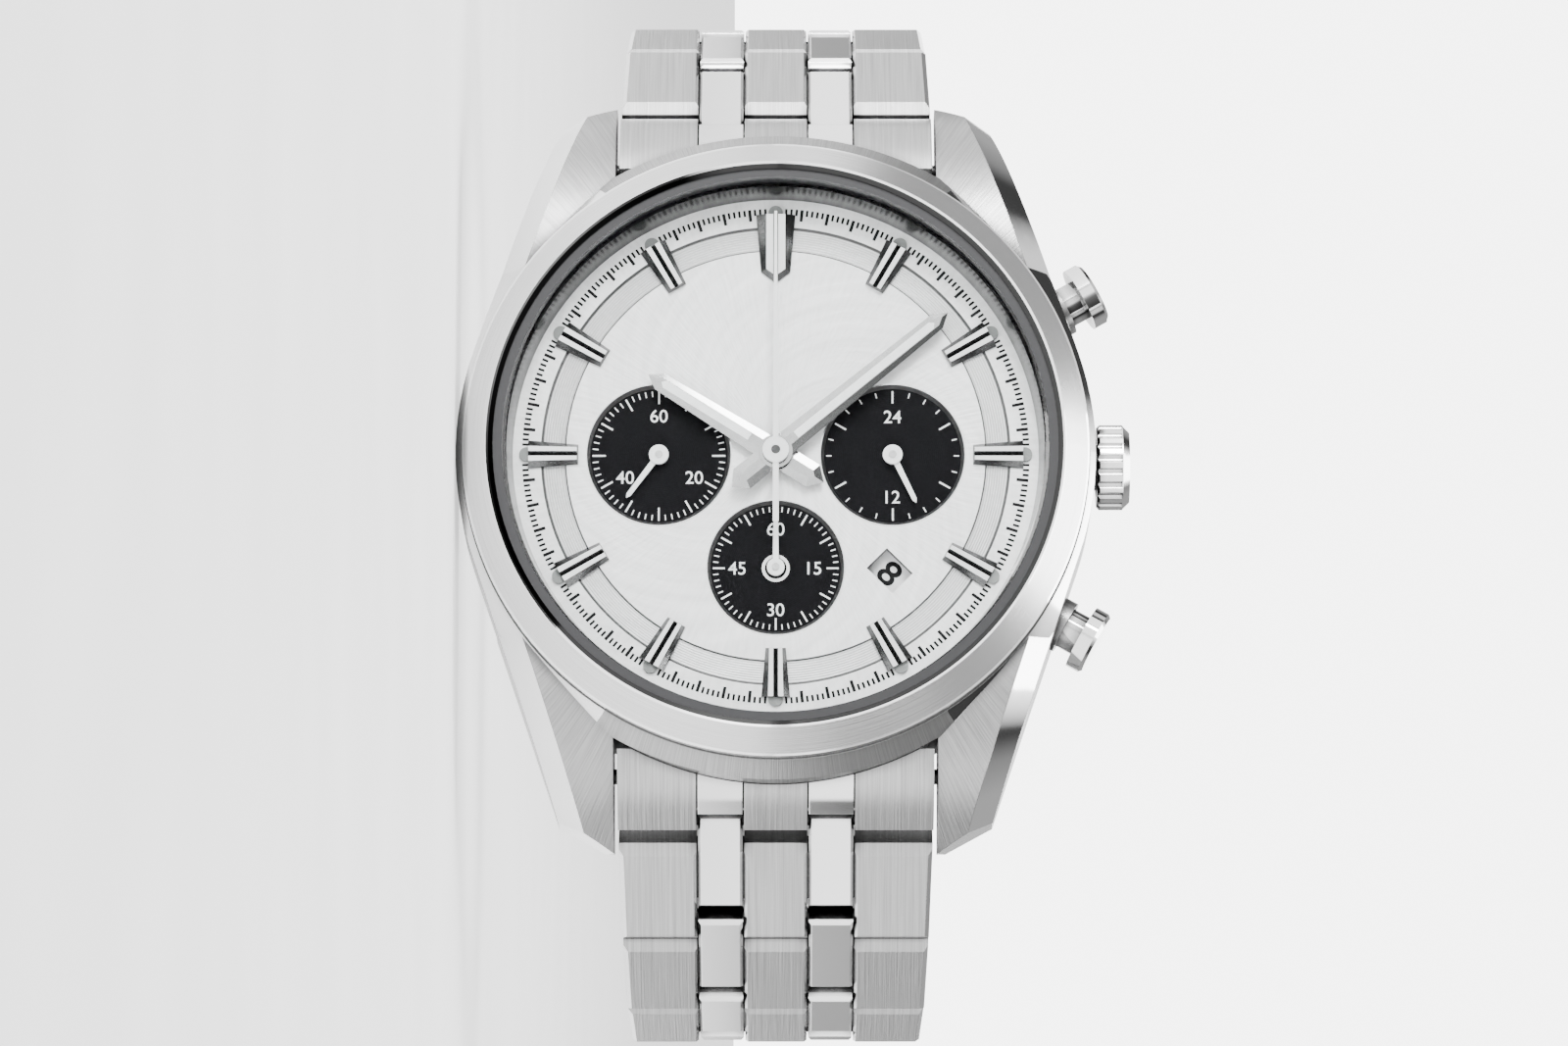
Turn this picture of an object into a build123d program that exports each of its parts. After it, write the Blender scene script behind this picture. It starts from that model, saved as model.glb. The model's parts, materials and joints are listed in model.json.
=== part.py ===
"""Chronograph wristwatch on a steel link bracelet, lying on its nine o'clock side.

Millimetres. The watch itself is drawn dial up: x to 3 o'clock, y to 12 o'clock, z out of the dial,
with z = 0 on the outer face of the case back. ON_ITS_SIDE then turns it so that 3 o'clock is up (+Z),
the dial faces -Y and 6 o'clock points along +X. Bracelet and clasp are drawn in that final position,
as profiles in the XY plane that run across the width along Z.
"""
import os
from math import asin, atan2, cos, degrees, radians, sin, tan

from build123d import *

ON_ITS_SIDE = Plane(origin=(0, 0, 0), x_dir=(0, 0, 1), z_dir=(0, -1, 0)).location
LOW = (Align.CENTER, Align.CENTER, Align.MIN)
RUNNING = 0.05

# case
CASE_R = 20.8
CASE_END_R = 21.45
CASE_TOP = 9.0
SHOULDER_R = 20.4
SHOULDER_LOW = 7.7
CASE_LOW = 0.6
FLANK_ANGLE = 18.6
LUG_GAP = 21.0
LUG_TIP_IN = 25.1
LUG_TIP_OUT = 23.2
LUG_BEVEL = 1.35
BAR_Y = 20.3
BAR_Z = 2.6
BAR_ROOM_Y = 19.25
BORE_R = 17.25
DIAL_SEAT_R = 18.3
DIAL_LOW = 7.3
DIAL_TOP = 7.8

# bezel, flange, crystal
BEZEL_R = 20.33
BEZEL_EDGE = 10.0
BEZEL_RIM_R = 18.75
BEZEL_RIM = 11.55
BEZEL_BORE = 18.3
CRYSTAL_R = 17.7
CRYSTAL_LOW = 10.0
CRYSTAL_TOP = 11.8
FLANGE_LOW_R = 17.1
FLANGE_TOP_R = 17.45

# dial
SUB_X = 7.6
SUB_Y = 7.48
SUB_R = 4.68
SUB_LOW_R = 4.44
SUB_STEP = 0.22
SUB_FLOOR = 7.5
TRACK_OUT = 15.28
TRACK_IN = 13.63
DATE_X = 7.39
DATE_Y = -7.70
DATE_LONG = 2.37
DATE_WIDE = 1.86
MARK_OUT = 16.08
MARK_IN = 12.83
MARK_TOP = 8.25
DOT_R = 0.47
DOT_RADIUS = 16.2

# hands, clockwise from 12 o'clock in degrees
MINUTE_AT = 50.4
HOUR_AT = 302.3
CHRONO_MINUTE_AT = 216.5
DAY_AT = 154.4

# crown and pushers
STEM_Z = 4.0
STEM_R = 0.9
CROWN_R = 2.8
CROWN_IN = 20.95
CROWN_OUT = 23.1
FLUTES = 20
PUSH_ANGLE = 29.5
PUSH_CAP_R = 2.15
PUSH_NECK_R = 1.35
PUSH_COLLAR_R = 1.75
PUSH_SHOULDER = 19.9
WIRE_R = 0.12

# bracelet: one link every 7.5 mm, each bent 20 degrees from the one before
PITCH = 7.5
LINKS = 6
FIRST_SLOPE = 42.0
BEND = 20.0
HALF_THICK = 1.4
FIRST_PIN = (22.9, -2.1)
PIN_R = 0.5
WIDE_HALF = 10.25
NARROW_HALF = 9.0
COLUMN_GAP = 0.1
CENTRE_HALF = 2.05
POLISHED_OUT = 5.05

# clasp: three nested arcs about one centre
CLASP_SAG = 3.0
BLADE_HALF = 6.4
LEAF = 0.9
KNUCKLE_R = 0.95
CLASP_PIN_R = 0.45


def disc(radius, low, high, x=0, y=0):
    return Pos(x, y, low) * Cylinder(radius, high - low, align=LOW)


def ring(outer, inner, low, high, x=0, y=0):
    return disc(outer, low, high, x, y) - disc(inner, low - 1, high + 1, x, y)


def face(points):
    return make_face(Polyline(*points, close=True))


def turned(points):
    return revolve(Plane.XZ * face(points), Axis.Z)


def rod(radius, start, end, x_dir, y_dir=0, z=STEM_Z):
    """A cylinder on a level axis through the middle of the watch, from one distance out to another."""
    place = Plane(origin=(start * x_dir, start * y_dir, z), z_dir=(x_dir, y_dir, 0))
    return place.location * Cylinder(radius, end - start, align=LOW)


def clockwise(shape, angle, x=0, y=0):
    return Pos(x, y, 0) * Rot(0, 0, -angle) * shape


def both_sides(shape):
    return shape + mirror(shape, about=Plane.XZ)


parts = {}


# ---------------------------------------------------------------- case
flank_x = CASE_R * cos(radians(FLANK_ANGLE))
flank_y = CASE_R * sin(radians(FLANK_ANGLE))
tip_x = flank_x - (LUG_TIP_OUT - flank_y) * tan(radians(FLANK_ANGLE))
gap_half = LUG_GAP / 2
outline = make_face(
    [
        Line((-gap_half, LUG_TIP_IN), (gap_half, LUG_TIP_IN)),
        Line((gap_half, LUG_TIP_IN), (tip_x, LUG_TIP_OUT)),
        Line((tip_x, LUG_TIP_OUT), (flank_x, flank_y)),
        ThreePointArc((flank_x, flank_y), (CASE_R, 0), (flank_x, -flank_y)),
        Line((flank_x, -flank_y), (tip_x, -LUG_TIP_OUT)),
        Line((tip_x, -LUG_TIP_OUT), (gap_half, -LUG_TIP_IN)),
        Line((gap_half, -LUG_TIP_IN), (-gap_half, -LUG_TIP_IN)),
        Line((-gap_half, -LUG_TIP_IN), (-tip_x, -LUG_TIP_OUT)),
        Line((-tip_x, -LUG_TIP_OUT), (-flank_x, -flank_y)),
        ThreePointArc((-flank_x, -flank_y), (-CASE_R, 0), (-flank_x, flank_y)),
        Line((-flank_x, flank_y), (-tip_x, LUG_TIP_OUT)),
        Line((-tip_x, LUG_TIP_OUT), (-gap_half, LUG_TIP_IN)),
    ]
)
plan = Pos(0, 0, -3) * extrude(outline, amount=15)
core = turned(
    [
        (0, CASE_LOW),
        (18.6, CASE_LOW),
        (CASE_END_R, 2.4),
        (CASE_END_R, SHOULDER_LOW),
        (SHOULDER_R, CASE_TOP),
        (0, CASE_TOP),
    ]
)
lug_profile = make_face(
    [
        Line((11.0, 8.75), (11.0, CASE_LOW)),
        Line((11.0, CASE_LOW), (14.0, CASE_LOW)),
        ThreePointArc((14.0, CASE_LOW), (19.8, 0.25), (24.8, -1.0)),
        Line((24.8, -1.0), (25.1, 0.9)),
        ThreePointArc((25.1, 0.9), (18.7, 7.65), (11.0, 8.75)),
    ]
)
lug_bar = extrude(Plane.YZ * lug_profile, amount=22, both=True)
lugs = (lug_bar & plan) - Box(LUG_GAP, 60, 30) - disc(17, -5, 12)
bevel_edges = [
    edge
    for edge in lugs.edges()
    if edge.center().Y > 13.2
    and abs(edge.center().X) > 13
    and edge.center().Z > 3
    and abs(edge.center().X) > abs(tip_x) - 0.2
    and edge.geom_type != GeomType.LINE
]
lugs = chamfer(bevel_edges, LUG_BEVEL)
body = (core & plan) + both_sides(lugs)
body -= disc(BORE_R, -2, 12)
body -= disc(17.8, -2, 1.1)
body -= disc(17.7, 1.05, 1.5)
body -= disc(DIAL_SEAT_R, DIAL_LOW, 12)
body -= rod(1.5, 16, 24, 1)
push_dirs = {
    "start": (cos(radians(PUSH_ANGLE)), sin(radians(PUSH_ANGLE))),
    "reset": (cos(radians(PUSH_ANGLE)), -sin(radians(PUSH_ANGLE))),
}
for x_dir, y_dir in push_dirs.values():
    body -= rod(PUSH_COLLAR_R, 16.5, 24, x_dir, y_dir)
for side in (1, -1):
    body -= Pos(0, side * (BAR_ROOM_Y + 10), 0.8) * Box(LUG_GAP, 20, 6.0)
    body -= Pos(0, side * BAR_Y, BAR_Z) * Rot(0, 90, 0) * Cylinder(0.5, 24.6)
parts["case_middle"] = body

bezel = turned(
    [
        (BEZEL_BORE, CASE_TOP),
        (BEZEL_R, CASE_TOP),
        (BEZEL_R, BEZEL_EDGE - 0.12),
        (BEZEL_R - 0.12, BEZEL_EDGE),
        (BEZEL_RIM_R, BEZEL_RIM),
        (BEZEL_BORE, BEZEL_RIM - 0.22),
    ]
)
parts["bezel"] = bezel
parts["crystal"] = chamfer(
    disc(CRYSTAL_R, CRYSTAL_LOW, CRYSTAL_TOP).edges().group_by(Axis.Z)[-1], 0.25
)
parts["crystal_gasket"] = ring(BEZEL_BORE, CRYSTAL_R, CRYSTAL_LOW, BEZEL_RIM - 0.35)

back = turned(
    [
        (0, 0),
        (15.2, 0),
        (15.4, 0.15),
        (15.8, 0.15),
        (17.0, 0.3),
        (17.75, 0.75),
        (17.75, 1.1),
        (17.2, 1.1),
        (17.2, 1.9),
        (16.4, 1.9),
        (16.4, 1.1),
        (0, 1.1),
    ]
)
for step in range(6):
    notch = Pos(16.9, 0, 0) * Box(1.0, 2.0, 0.9)
    back -= Rot(0, 0, 30 + 60 * step) * notch
back -= ring(13.4, 13.1, -0.1, 0.06)
back -= ring(8.2, 8.0, -0.1, 0.06)
parts["case_back"] = back
parts["case_back_gasket"] = ring(17.65, 17.28, 1.1, 1.45)

parts["inner_flange"] = turned(
    [
        (FLANGE_LOW_R, DIAL_TOP),
        (BEZEL_BORE, DIAL_TOP),
        (BEZEL_BORE, CRYSTAL_LOW),
        (FLANGE_TOP_R, CRYSTAL_LOW),
    ]
)

# ---------------------------------------------------------------- dial
sub_places = [(-SUB_X, 0, SUB_R), (SUB_X, 0, SUB_R), (0, -SUB_Y, SUB_LOW_R)]
dial = disc(18.2, DIAL_LOW, DIAL_TOP)
dial -= disc(1.05, 7, 9)
dial -= turned(
    [
        (TRACK_IN, DIAL_TOP + 0.1),
        (TRACK_OUT, DIAL_TOP + 0.1),
        (TRACK_OUT, DIAL_TOP),
        (TRACK_OUT - 0.18, DIAL_TOP - 0.12),
        (TRACK_IN + 0.1, DIAL_TOP - 0.12),
        (TRACK_IN, DIAL_TOP),
    ]
)
window = Pos(DATE_X, DATE_Y, 7) * Rot(0, 0, -45) * Box(DATE_LONG, DATE_WIDE, 2, align=LOW)
dial -= window
sub_floors = []
for x, y, radius in sub_places:
    low = radius - SUB_STEP
    cut = turned(
        [
            (0, DIAL_LOW - 0.1),
            (low, DIAL_LOW - 0.1),
            (low, SUB_FLOOR),
            (radius, DIAL_TOP),
            (radius, DIAL_TOP + 0.1),
            (0, DIAL_TOP + 0.1),
        ]
    )
    dial -= Pos(x, y, 0) * cut
    sub_floors.append(ring(low, 0.4, DIAL_LOW, SUB_FLOOR, x, y))
parts["dial"] = dial
parts["subdial_plates"] = Compound(sub_floors)

cell_film = disc(18.0, 7.1, DIAL_LOW)
cell_film -= disc(1.05, 7, 8)
cell_film &= disc(BORE_R, 7, 8)
for x, y, radius in sub_places:
    cell_film -= disc(0.5, 7, 8, x, y)
cell_film -= window
parts["solar_cell"] = cell_film

markers = []
dots = []
for hour in range(12):
    if hour == 0:
        low_face = face([(-1.28, 16.05), (1.28, 16.05), (0.95, 12.2), (0, 11.48), (-0.95, 12.2)])
        top_face = face([(-0.62, 16.05), (0.62, 16.05), (0.62, 12.35), (0, 11.9), (-0.62, 12.35)])
    else:
        low_face = face([(-0.925, MARK_OUT), (0.925, MARK_OUT), (0.65, MARK_IN), (-0.65, MARK_IN)])
        top_face = face(
            [(-0.5, MARK_OUT), (0.5, MARK_OUT), (0.42, MARK_IN + 0.1), (-0.42, MARK_IN + 0.1)]
        )
    base = Pos(0, 0, DIAL_TOP) * extrude(low_face, amount=0.12)
    rise = loft([Pos(0, 0, DIAL_TOP + 0.12) * low_face, Pos(0, 0, MARK_TOP) * top_face], ruled=True)
    marker = base + rise
    marker -= Pos(0, 14.0, MARK_TOP) * Rot(0, 45, 0) * Box(0.22, 6, 0.22)
    markers.append(clockwise(marker, 30 * hour))
    dot = disc(DOT_R, DIAL_TOP, DIAL_TOP + 0.18, 0, DOT_RADIUS)
    dot -= Pos(0, MARK_OUT - 2, DIAL_TOP) * Box(4, 4, 4)
    dots.append(clockwise(dot, 30 * hour))
parts["hour_markers"] = Compound(markers)
parts["lume_dots"] = Compound(dots)

# ---------------------------------------------------------------- movement
plate = disc(16.3, 5.0, 6.3)
plate += ring(12.2, 9.35, 6.3, 6.7)
plate += ring(9.35, 9.0, 6.3, 7.0)
plate -= disc(0.65, 4, 8)
for x, y, radius in sub_places:
    plate -= disc(0.35, 4, 8, x, y)
parts["movement_plate"] = plate

spacer = ring(BORE_R - 0.02, 16.32, 1.9, 7.1)
spacer -= rod(1.15, 15, 18, 1)
for x_dir, y_dir in push_dirs.values():
    spacer -= rod(0.8, 15, 18, x_dir, y_dir)
parts["movement_ring"] = spacer

board = disc(16.3, 2.2, 2.8)
board -= disc(4.8, 2, 4, -6.5, -5.5)
board += Pos(-2, 8, 2.8) * Box(5, 5, 0.8, align=LOW)
board += Pos(-10, 5, 2.8) * Box(3, 2, 0.8, align=LOW)
board += Pos(4, 11, 2.8) * Box(2.2, 4, 0.8, align=LOW)
board += Pos(8, -9.5, 2.8) * Box(6, 3.4, 1.2, align=LOW)
for turn in (80, 200, 320):
    post = disc(0.9, 2.8, 5.0, 14.6 * cos(radians(turn)), 14.6 * sin(radians(turn)))
    board += post
parts["circuit_block"] = board
parts["rechargeable_cell"] = chamfer(disc(4.75, 2.0, 4.2, -6.5, -5.5).edges().group_by(Axis.Z)[-1], 0.2)

date_disc = ring(12.0, 9.4, 6.75, 6.95)
parts["date_disc"] = date_disc

parts["hour_wheel"] = ring(0.95, 0.65, 6.4, 8.5) + ring(2.2, 0.65, 6.4, 6.6)
parts["cannon_pinion"] = ring(0.6, 0.35, 4.5, 8.95) + ring(1.5, 0.35, 4.5, 4.9)
parts["chrono_seconds_arbor"] = disc(0.3, 4.0, 9.45) + disc(1.2, 4.0, 4.35)


def hand(length, base_half, tip_half, tail, tail_half, low, high, hub_r, hole_r, hub_high):
    """Roof-faceted hand with a pointed tip and a right-angled tail, pointing at 12."""
    ridge = 0.3
    low_face = face(
        [
            (0, length),
            (-tip_half, length - 0.9),
            (-base_half, 0.6),
            (-tail_half, tail_half - tail),
            (0, -tail),
            (tail_half, tail_half - tail),
            (base_half, 0.6),
            (tip_half, length - 0.9),
        ]
    )
    top_face = face(
        [
            (0, length - 0.5),
            (-ridge, length - 1.0),
            (-ridge, 0.6),
            (-ridge, ridge - tail + 0.7),
            (0, 0.7 - tail),
            (ridge, ridge - tail + 0.7),
            (ridge, 0.6),
            (ridge, length - 1.0),
        ]
    )
    edge = low + 0.06
    shape = Pos(0, 0, low) * extrude(low_face, amount=0.06)
    shape += loft([Pos(0, 0, edge) * low_face, Pos(0, 0, high) * top_face], ruled=True)
    shape += disc(hub_r, low, hub_high)
    shape -= disc(hole_r, low - 1, hub_high + 1)
    return shape


def small_hand(length, hub_r, low, high):
    blade = face([(-0.2, 0), (0.2, 0), (0.15, length - 0.25), (0, length), (-0.15, length - 0.25)])
    shape = Pos(0, 0, low) * extrude(blade, amount=0.12)
    shape += disc(hub_r, low, high)
    shape -= disc(0.25, low - 1, high + 1)
    return shape


parts["hour_hand"] = clockwise(hand(9.82, 0.83, 0.6, 3.7, 0.85, 8.3, 8.48, 1.2, 0.95, 8.5), HOUR_AT)
parts["minute_hand"] = clockwise(hand(14.55, 0.8, 0.58, 3.7, 0.85, 8.72, 8.9, 1.1, 0.6, 8.95), MINUTE_AT)
needle = face([(-0.2, -4.7), (0.2, -4.7), (0.18, 0), (0.09, 16), (-0.09, 16), (-0.18, 0)])
long_hand = Pos(0, 0, 9.12) * extrude(needle, amount=0.12)
long_hand += disc(0.85, 9.12, 9.45)
long_hand -= disc(0.3, 9, 10)
parts["chrono_seconds_hand"] = long_hand
for name, x, y, length, hub_r, wheel_r, at in (
    ("chrono_minute", -SUB_X, 0, 3.55, 0.64, 3.2, CHRONO_MINUTE_AT),
    ("day", SUB_X, 0, 3.54, 0.64, 2.6, DAY_AT),
    ("small_seconds", 0, -SUB_Y, 3.5, 0.57, 3.2, 0),
):
    hand_node = "day_hand" if name == "day" else name + "_hand"
    arbor_node = "day_hand_arbor" if name == "day" else name + "_arbor"
    parts[hand_node] = clockwise(small_hand(length, hub_r, 7.72, 8.0), at, x, y)
    arbor = disc(0.25, 4.9, 8.05, x, y) + disc(1.2, 6.35, 6.65, x, y) + disc(0.3, 4.9, 6.35, x, y)
    arbor += disc(wheel_r, 4.3, 4.95, x, y)
    parts[arbor_node] = arbor

# ---------------------------------------------------------------- crown and pushers
parts["crown_tube"] = rod(1.5, 17.3, 22.0, 1) - rod(STEM_R + RUNNING, 17, 23, 1)
crown = rod(CROWN_R, CROWN_IN, CROWN_OUT, 1)
crown = chamfer(crown.edges().group_by(Axis.X)[-1], 0.45)
crown = chamfer(crown.edges().group_by(Axis.X)[0], 0.2)
flute = Plane(origin=(CROWN_IN - 1, 0, STEM_Z), z_dir=(1, 0, 0)).location
for step in range(FLUTES):
    turn = radians(step * 360 / FLUTES)
    groove_r = CROWN_R * 1.06
    groove = Pos(groove_r * cos(turn), groove_r * sin(turn), 0) * Cylinder(0.3, 2.65, align=LOW)
    crown -= flute * groove
crown -= rod(1.9, CROWN_IN - 1, 22.4, 1)
crown -= rod(0.5, 22.3, 22.8, 1)
parts["crown"] = crown
parts["crown_gasket"] = rod(1.9, 21.2, 21.8, 1) - rod(1.5 + RUNNING, 21, 22, 1)
stem = rod(STEM_R, 10.5, 22.4, 1) + rod(0.5, 22.4, 22.8, 1)
stem -= rod(STEM_R + 0.1, 12.0, 12.6, 1) - rod(0.6, 11, 13, 1)
parts["winding_stem"] = stem
lever = Pos(12.3, 0, 3.9) * Box(0.5, 3.2, 1.8)
lever -= rod(0.6 + RUNNING, 11, 13.5, 1)
lever -= Pos(12.3, 0, STEM_Z + 1.5) * Box(2, 1.3, 3)
lever += Pos(9.5, -1.45, 3.1) * Box(5.1, 0.3, 0.5)
parts["setting_lever"] = lever

tube_solids = []
for which, (x_dir, y_dir) in push_dirs.items():
    tube = rod(PUSH_COLLAR_R, 17.3, 21.7, x_dir, y_dir)
    tube -= rod(PUSH_NECK_R + RUNNING, 17.8, 22, x_dir, y_dir)
    tube -= rod(0.55, 17, 18, x_dir, y_dir)
    tube_solids.append(tube)
    pusher = rod(PUSH_NECK_R, PUSH_SHOULDER, 22.9, x_dir, y_dir)
    cap = Plane(origin=(22.9 * x_dir, 22.9 * y_dir, STEM_Z), z_dir=(x_dir, y_dir, 0)).location
    head = Cylinder(PUSH_CAP_R, 1.1, align=LOW)
    head = chamfer(head.edges().group_by(Axis.Z)[-1], 0.22)
    pusher += cap * head
    pusher += rod(0.5, 16.9, PUSH_SHOULDER, x_dir, y_dir)
    parts["pusher_" + which] = pusher
    coil = Helix(pitch=0.465, height=PUSH_SHOULDER - 17.8 - 2 * WIRE_R, radius=0.9)
    section = Plane(origin=coil @ 0, z_dir=coil % 0) * Circle(WIRE_R)
    reach = 17.8 + WIRE_R
    seat = Plane(origin=(reach * x_dir, reach * y_dir, STEM_Z), z_dir=(x_dir, y_dir, 0))
    parts["pusher_spring_" + which] = seat.location * sweep(section, path=coil)
parts["pusher_tubes"] = Compound(tube_solids)

for name in list(parts):
    parts[name] = ON_ITS_SIDE * parts[name]

# ---------------------------------------------------------------- bracelet
BAR_AT = (BAR_Y, -BAR_Z)
bars = []
for side in (1, -1):
    bar = Pos(side * BAR_AT[0], BAR_AT[1], 0) * (Cylinder(0.85, 19.6) + Cylinder(0.5, 24.0))
    bars.append(bar)
parts["lug_spring_bars"] = Compound(bars)


def columns(profile, low, high):
    """The same XY profile drawn across the width from low to high, on both sides of the middle."""
    strip = Pos(0, 0, low) * extrude(profile, amount=high - low)
    return strip + mirror(strip, about=Plane.XY)


def across(profile, half):
    return Pos(0, 0, -half) * extrude(profile, amount=2 * half)


# one row of the bracelet in its own frame: X from near pin to far pin, Y outward, Z across
solid_end = make_face(
    [
        Line((1.4, -1.15), (1.65, -HALF_THICK)),
        Line((1.65, -HALF_THICK), (PITCH - 0.2, -HALF_THICK)),
        ThreePointArc((PITCH - 0.2, -HALF_THICK), (PITCH + 0.6485, -1.0485), (PITCH + 1.0, -0.2)),
        Line((PITCH + 1.0, -0.2), (PITCH + 1.0, 1.15)),
        Line((PITCH + 1.0, 1.15), (PITCH + 0.75, HALF_THICK)),
        Line((PITCH + 0.75, HALF_THICK), (2.1, HALF_THICK)),
        Line((2.1, HALF_THICK), (1.4, 0.85)),
        Line((1.4, 0.85), (1.4, -1.15)),
    ]
)
knuckle_end = make_face(
    [
        Line((-1.0, -0.2), (-1.0, 1.15)),
        Line((-1.0, 1.15), (-0.75, HALF_THICK)),
        Line((-0.75, HALF_THICK), (PITCH - 1.65, HALF_THICK)),
        Line((PITCH - 1.65, HALF_THICK), (PITCH - 1.4, 1.15)),
        Line((PITCH - 1.4, 1.15), (PITCH - 1.4, -1.15)),
        Line((PITCH - 1.4, -1.15), (PITCH - 1.65, -HALF_THICK)),
        Line((PITCH - 1.65, -HALF_THICK), (0.2, -HALF_THICK)),
        ThreePointArc((0.2, -HALF_THICK), (-0.6485, -1.0485), (-1.0, -0.2)),
    ]
)
inside = Pos(PITCH / 2, 0, 0) * Rectangle(PITCH - 4.0, 2.0)


def link(wide, narrow):
    """Three brushed pieces that hold the far pin, two polished ones that turn on the near pin."""
    brushed = columns(solid_end, POLISHED_OUT + COLUMN_GAP, wide)
    brushed += across(solid_end, CENTRE_HALF)
    polished = columns(knuckle_end, CENTRE_HALF + COLUMN_GAP, POLISHED_OUT)
    row = brushed + polished + across(inside, wide - 1.0)
    slope = degrees(atan2(wide - narrow, PITCH))
    for side in (1, -1):
        trim = Pos(0, 0, side * (wide + 2.5)) * Box(40, 10, 5)
        bevel = Pos(0, HALF_THICK, side * wide) * Rot(45, 0, 0) * Box(40, 0.4, 0.4)
        row -= Rot(0, side * slope, 0) * (trim + bevel)
        for joint in (CENTRE_HALF, POLISHED_OUT):
            edge = side * (joint + COLUMN_GAP / 2)
            row -= Pos(0, HALF_THICK, edge) * Rot(45, 0, 0) * Box(40, 0.32, 0.32)
    row -= Cylinder(PIN_R + RUNNING, 2 * POLISHED_OUT + 1)
    row -= Pos(PITCH, 0, 0) * Cylinder(PIN_R, 2 * narrow - 1.4)
    return row


def pin_for(narrow):
    return Pos(PITCH, 0, 0) * Cylinder(PIN_R, 2 * narrow - 1.4)


widths = [WIDE_HALF - (WIDE_HALF - NARROW_HALF) * step / LINKS for step in range(LINKS + 1)]
row_shapes = [link(widths[step], widths[step + 1]) for step in range(LINKS)]
pins = {}
for side, sign in (("6", 1), ("12", -1)):
    x, y = FIRST_PIN
    for step in range(LINKS):
        slope = FIRST_SLOPE + BEND * step
        along = (sign * cos(radians(slope)), sin(radians(slope)), 0)
        place = Plane(origin=(sign * x, y, 0), x_dir=along, z_dir=(0, 0, -sign)).location
        shape = [place * row_shapes[step]]
        held_pin = pin_for(widths[step + 1])
        if side == "12" and step == LINKS - 1:
            parts["clasp_spring_bar_12"] = place * Pos(PITCH, 0, 0) * Cylinder(PIN_R, 2 * CENTRE_HALF)
            near_12 = (sign * x, y)
        else:
            shape.append(place * held_pin)
        parts["link_" + side + "_" + str(step + 1)] = Compound(shape)
        x += PITCH * cos(radians(slope))
        y += PITCH * sin(radians(slope))
    pins[side] = (sign * x, y)

# end links: brushed and polished columns like the rows, with a convex top, holding the first pin
end_profile = make_face(
    [
        ThreePointArc((17.3, -7.7), (21.6, -6.1), (23.9, -3.0)),
        Line((23.9, -3.0), (23.55, -1.35)),
        Line((23.55, -1.35), (22.5, -0.75)),
        Line((22.5, -0.75), (19.4, -1.5)),
        Line((19.4, -1.5), (19.4, -3.6)),
        Line((19.4, -3.6), (17.3, -7.7)),
    ]
)
for side, sign in (("6", 1), ("12", -1)):
    along = (cos(radians(FIRST_SLOPE)), sin(radians(FIRST_SLOPE)), 0)
    solid = across(end_profile, WIDE_HALF)
    solid -= Pos(0, -3.75, 0) * Rot(90, 0, 0) * Cylinder(CASE_END_R + 0.03, 20, align=LOW)
    solid -= Pos(BAR_ROOM_Y - 4.9, 0, 0) * Box(10, 30, 30)
    place = Plane(origin=(FIRST_PIN[0], FIRST_PIN[1], 0), x_dir=along, z_dir=(0, 0, -1)).location
    for z in (CENTRE_HALF + COLUMN_GAP / 2, POLISHED_OUT + COLUMN_GAP / 2):
        for flip in (1, -1):
            solid -= Pos(22, -6.5, flip * z) * Rot(0, 0, 40) * Box(14, 3.2, COLUMN_GAP)
    middle = (CENTRE_HALF + POLISHED_OUT + COLUMN_GAP) / 2
    slot = POLISHED_OUT - CENTRE_HALF + COLUMN_GAP
    for flip in (1, -1):
        solid -= place * (Pos(0.3, 0, flip * middle) * Box(3.4, 8, slot))
    solid -= Pos(BAR_AT[0], BAR_AT[1], 0) * Cylinder(0.87, 30)
    solid -= Pos(FIRST_PIN[0], FIRST_PIN[1], 0) * Cylinder(PIN_R, 2 * WIDE_HALF - 1.4)
    held = Pos(FIRST_PIN[0], FIRST_PIN[1], 0) * Cylinder(PIN_R, 2 * WIDE_HALF - 1.4)
    both = Compound([solid, held])
    parts["end_link_" + side] = both if sign == 1 else mirror(both, about=Plane.YZ)

# ---------------------------------------------------------------- clasp
end_x, end_y = pins["6"]
ARC_R = (end_x**2 + CLASP_SAG**2) / (2 * CLASP_SAG)
ARC_Y = end_y + CLASP_SAG - ARC_R
INNER_LOW = ARC_R - 1.5
OUTER_LOW = INNER_LOW + LEAF + 0.15
COVER_LOW = OUTER_LOW + LEAF + 0.15
ARC_END = degrees(asin(end_x / ARC_R))
H1_AT = ARC_END - degrees(3.1 / ARC_R)
H2_AT = ARC_END - degrees(4.6 / ARC_R)


def arc_point(radius, angle):
    return (radius * sin(radians(angle)), ARC_Y + radius * cos(radians(angle)))


def leaf(low, thick, start, end, half):
    """A strip of the clasp's curve between two angles from its lowest point."""
    mid = (start + end) / 2
    a, b, c = (arc_point(low, t) for t in (start, mid, end))
    d, e, f = (arc_point(low + thick, t) for t in (end, mid, start))
    outline_face = make_face([ThreePointArc(a, b, c), Line(c, d), ThreePointArc(d, e, f), Line(f, a)])
    return across(outline_face, half)


h1 = arc_point(OUTER_LOW + LEAF + 0.075, H1_AT)
h2 = arc_point(INNER_LOW + LEAF + 0.075, -H2_AT)
p6 = pins["6"]
p12 = pins["12"]
clear_6 = Pos(p6[0], p6[1], 0) * Cylinder(2.0, 60)
clear_12 = Pos(near_12[0], near_12[1], 0) * Cylinder(PITCH + 1.45, 60)
room = KNUCKLE_R + 0.12


def barrel(at, radius, low, high):
    return Pos(at[0], at[1], low) * Cylinder(radius, high - low, align=LOW)


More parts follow.
